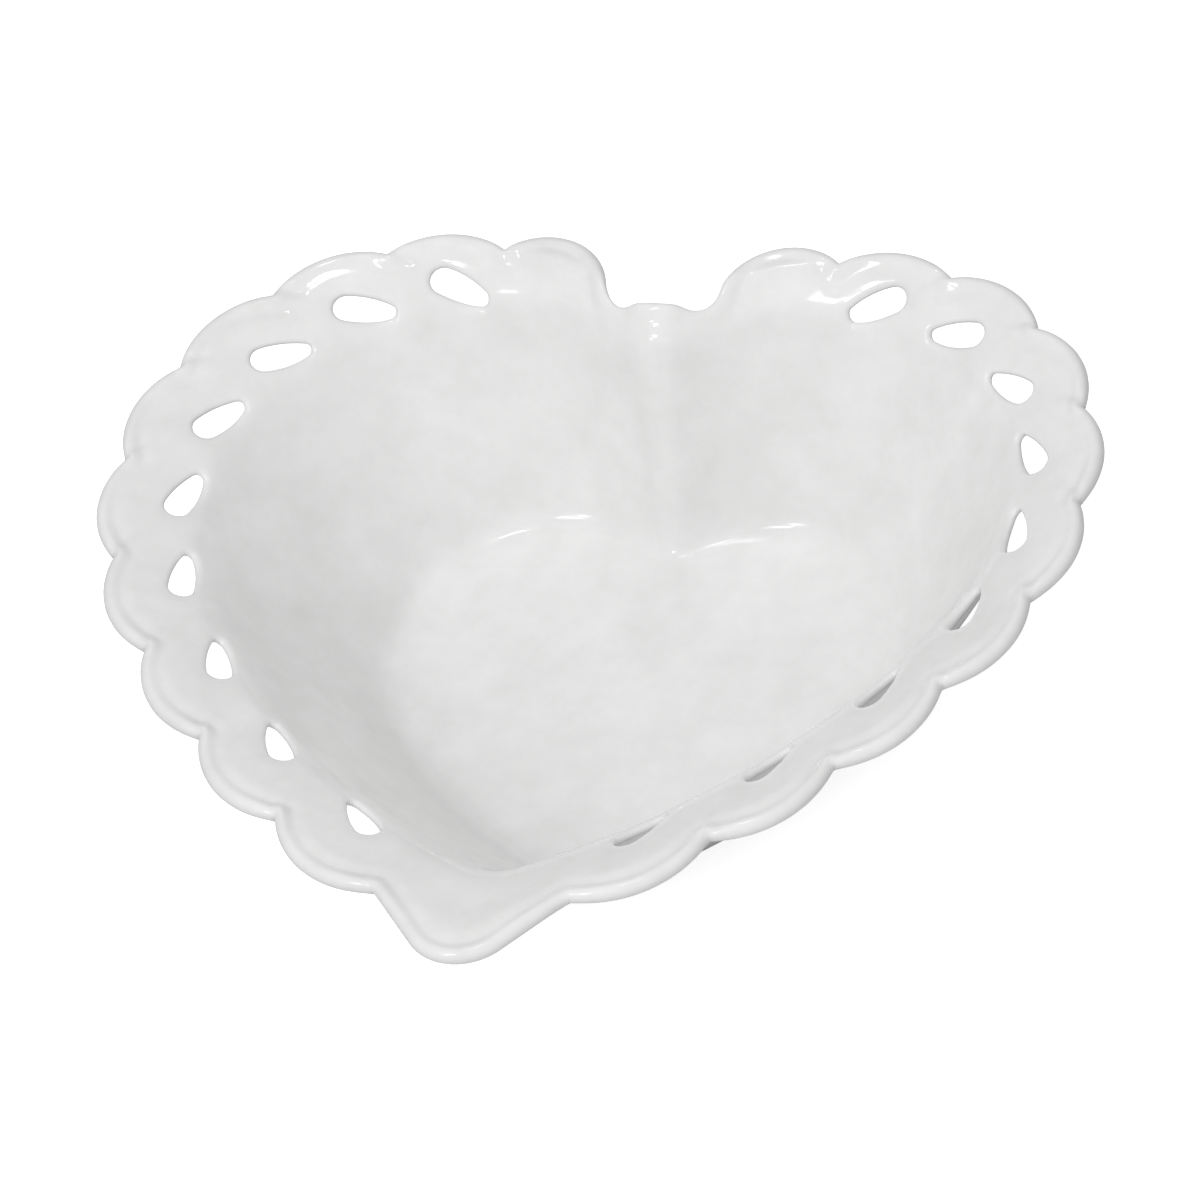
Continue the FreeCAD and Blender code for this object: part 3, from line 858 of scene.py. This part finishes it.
def add_bump(nodes, links, height, depth, normal=None):
    """Bump of this depth in metres."""
    bump = nodes.new("ShaderNodeBump")
    bump.inputs["Strength"].default_value = 1.0
    bump.inputs["Distance"].default_value = depth
    links.new(height, bump.inputs["Height"])
    if normal:
        links.new(normal, bump.inputs["Normal"])
    return bump.outputs["Normal"]


def glaze_material():
    """White glaze: faint mottling, and the slow ripple and fine pitting of a dipped coat."""
    material, nodes, links, shader = node_material("white_glaze")
    place = nodes.new("ShaderNodeTexCoord").outputs["Object"]
    mottling = add_noise(nodes, links, place, *GLAZE_MOTTLING)
    clouds = add_range(nodes, links, mottling, 0, 1)
    colour = add_mix(nodes, links, clouds, GLAZE_THIN, GLAZE_FULL)
    links.new(colour, shader.inputs["Base Color"])
    wear = add_noise(nodes, links, place, *GLAZE_WEAR_NOISE)
    links.new(add_range(nodes, links, wear, *GLAZE_ROUGHNESS), shader.inputs["Roughness"])
    waves = add_noise(nodes, links, place, *GLAZE_RIPPLE_NOISE)
    ripple = add_bump(nodes, links, waves, GLAZE_RIPPLE)
    pits = add_noise(nodes, links, place, *GLAZE_PITTING_NOISE)
    fine = add_bump(nodes, links, pits, GLAZE_PITTING, ripple)
    links.new(fine, shader.inputs["Normal"])
    shader.inputs["IOR"].default_value = GLAZE_IOR
    return material


def foot_material():
    """Unglazed resting edge of the foot, with glaze down to just above it."""
    material, nodes, links, shader = node_material("bare_foot")
    coordinates = nodes.new("ShaderNodeTexCoord").outputs["Object"]
    height = nodes.new("ShaderNodeSeparateXYZ")
    links.new(coordinates, height.inputs["Vector"])
    grain = add_noise(nodes, links, coordinates, *CLAY_GRAIN_NOISE)
    ragged = add_noise(nodes, links, coordinates, *GLAZE_LINE_NOISE)
    line = nodes.new("ShaderNodeMath")
    line.operation = "MULTIPLY_ADD"
    links.new(ragged, line.inputs[0])
    line.inputs[1].default_value = GLAZE_LINE_WAVE
    links.new(height.outputs["Z"], line.inputs[2])
    glazed = add_range(nodes, links, line.outputs["Value"], 0, 1, *GLAZE_LINE)
    speckle = add_range(nodes, links, grain, 0, 1)
    clay = add_mix(nodes, links, speckle, CLAY_DARK, CLAY_LIGHT)
    links.new(add_mix(nodes, links, glazed, clay, GLAZE_FULL), shader.inputs["Base Color"])
    roughness = add_range(nodes, links, glazed, CLAY_ROUGHNESS, FOOT_GLAZE_ROUGHNESS, 0, 1)
    links.new(roughness, shader.inputs["Roughness"])
    links.new(add_bump(nodes, links, grain, CLAY_GRAIN), shader.inputs["Normal"])
    return material


# ---------------------------------------------------------------- studio


def view_axes():
    """Right, up and forward of the camera."""
    right = Vector((math.cos(AZIMUTH), math.sin(AZIMUTH), 0))
    forward_axis = Vector((
        -math.sin(AZIMUTH) * math.cos(ELEVATION),
        math.cos(AZIMUTH) * math.cos(ELEVATION),
        -math.sin(ELEVATION),
    ))
    up = right.cross(forward_axis)
    turned = math.cos(ROLL) * right + math.sin(ROLL) * up
    return turned, math.cos(ROLL) * up - math.sin(ROLL) * right, forward_axis


RIGHT, UP, FORWARD = view_axes()


def make_camera():
    """Long lens far off, which gives the nearly parallel view."""
    data = bpy.data.cameras.new("camera")
    data.lens = LENS
    data.sensor_width = SENSOR
    data.clip_start = CLIP_START
    data.clip_end = CLIP_END
    camera = add_object("camera", data)
    turn = Matrix((RIGHT, UP, -FORWARD)).transposed().to_4x4()
    camera.matrix_world = Matrix.Translation(TARGET - FORWARD * CAMERA_DISTANCE) @ turn
    bpy.context.scene.camera = camera


def add_lamp(name, heading, rise, size, power, mirrored):
    """Square area lamp that faces the dish, from this direction of the plan and height."""
    over = math.radians(rise)
    place = Vector((*unit(heading) * math.cos(over), math.sin(over)))
    data = bpy.data.lights.new(name, "AREA")
    data.size = size
    data.energy = power
    lamp = add_object(name, data)
    lamp.location = TARGET + LAMP_DISTANCE * place
    lamp.rotation_euler = (-place).to_track_quat("-Z", "Y").to_euler()
    lamp.visible_glossy = mirrored


def make_world():
    """Even light for the object, with white behind it for the camera."""
    world = bpy.data.worlds.new("studio")
    bpy.context.scene.world = world
    world.use_nodes = True
    nodes, links = world.node_tree.nodes, world.node_tree.links
    nodes.clear()
    rays = nodes.new("ShaderNodeLightPath")
    light = nodes.new("ShaderNodeBackground")
    light.inputs["Strength"].default_value = WORLD_LIGHT
    white = nodes.new("ShaderNodeBackground")
    mix = nodes.new("ShaderNodeMixShader")
    output = nodes.new("ShaderNodeOutputWorld")
    links.new(rays.outputs["Is Camera Ray"], mix.inputs["Fac"])
    links.new(light.outputs["Background"], mix.inputs[1])
    links.new(white.outputs["Background"], mix.inputs[2])
    links.new(mix.outputs["Shader"], output.inputs["Surface"])


def make_floor():
    """Pale floor that looks white to the camera, and keeps the dish's shadow."""
    mesh = bpy.data.meshes.new("floor")
    corners = [
        (side * FLOOR_REACH, end * FLOOR_REACH, -FLOOR_GAP)
        for side, end in ((-1, -1), (1, -1), (1, 1), (-1, 1))
    ]
    mesh.from_pydata(corners, [], [(0, 1, 2, 3)])
    floor = add_object("floor", mesh)
    material, nodes, links, shader = node_material("floor")
    shader.inputs["Base Color"].default_value = (FLOOR_GREY, FLOOR_GREY, FLOOR_GREY, 1)
    shader.inputs["Roughness"].default_value = 1.0
    shader.inputs["Specular IOR Level"].default_value = 0.0
    shader.inputs["Emission Color"].default_value = (1, 1, 1, 1)
    rays = nodes.new("ShaderNodeLightPath")
    glow = add_range(nodes, links, rays.outputs["Is Camera Ray"], 0, FLOOR_GLOW, 0, 1)
    links.new(glow, shader.inputs["Emission Strength"])
    mesh.materials.append(material)


# ---------------------------------------------------------------- making


bpy.context.scene.view_settings.view_transform = "Standard"
make_camera()
make_world()
for lamp in LAMPS:
    add_lamp(*lamp)
make_floor()

dish = make_dish()
dish.data.materials.append(glaze_material())
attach(dish, "root")
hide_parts("pierced_border", "bowl_wall", "bowl_floor")

foot = make_foot()
foot.data.materials.append(foot_material())
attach(foot, "root")
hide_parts("foot_ring")
